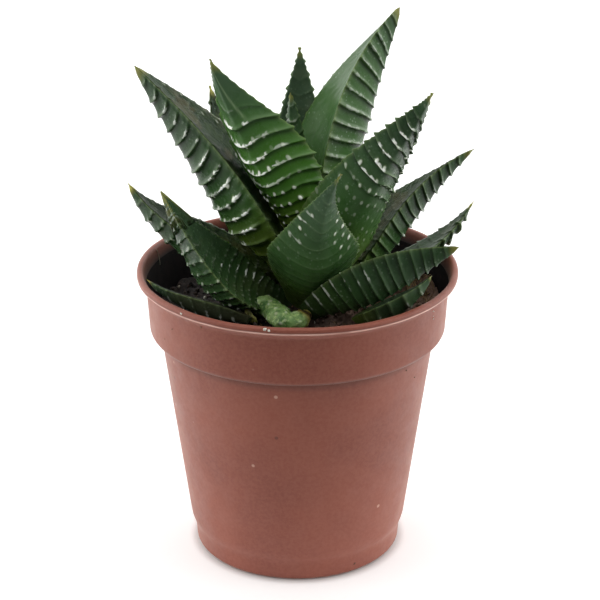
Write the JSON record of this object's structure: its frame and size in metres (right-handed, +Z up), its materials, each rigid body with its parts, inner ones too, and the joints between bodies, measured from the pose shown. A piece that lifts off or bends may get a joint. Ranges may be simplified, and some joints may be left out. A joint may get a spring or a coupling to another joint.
{
  "type": "potted haworthia",
  "caption": "Small rosette succulent with thick, pointed, cross-ridged leaves, growing in soil in a tapered round plastic nursery pot with a stepped collar and a rolled lip.",
  "frame": {"origin": "on the pot's axis, at the plane that its foot stands on", "axes": "+Z up along the pot's axis, -Y towards the plant's usual front, +X to the right as seen from that front"},
  "size_m": [0.0649, 0.061, 0.1036],
  "materials": {
    "leaf": "satin",
    "stub": "satin",
    "stem": "matte",
    "soil": "matte",
    "pot": "matte"
  },
  "bodies": {
    "root": {"leaf_front_short": "leaf", "leaf_right_front_low": "leaf", "leaf_left_front_low": "leaf", "leaf_right_front_broad": "leaf", "leaf_left_front_tall": "leaf", "leaf_left_tall": "leaf", "leaf_right_tall": "leaf", "leaf_right_upper": "leaf", "leaf_back_middle": "leaf", "leaf_heart": "leaf", "leaf_left_outer": "leaf", "leaf_right_back_low": "leaf", "leaf_back_left_tall": "leaf", "leaf_right_rim": "leaf", "leaf_left_rim": "leaf", "leaf_back_low": "leaf", "leaf_back_outer": "leaf", "leaf_back_right_low": "leaf", "leaf_back_left_low": "leaf", "leaf_stub": "stub", "soil": "soil", "stem": "stem", "pot": "pot"}
  },
  "joints": []
}
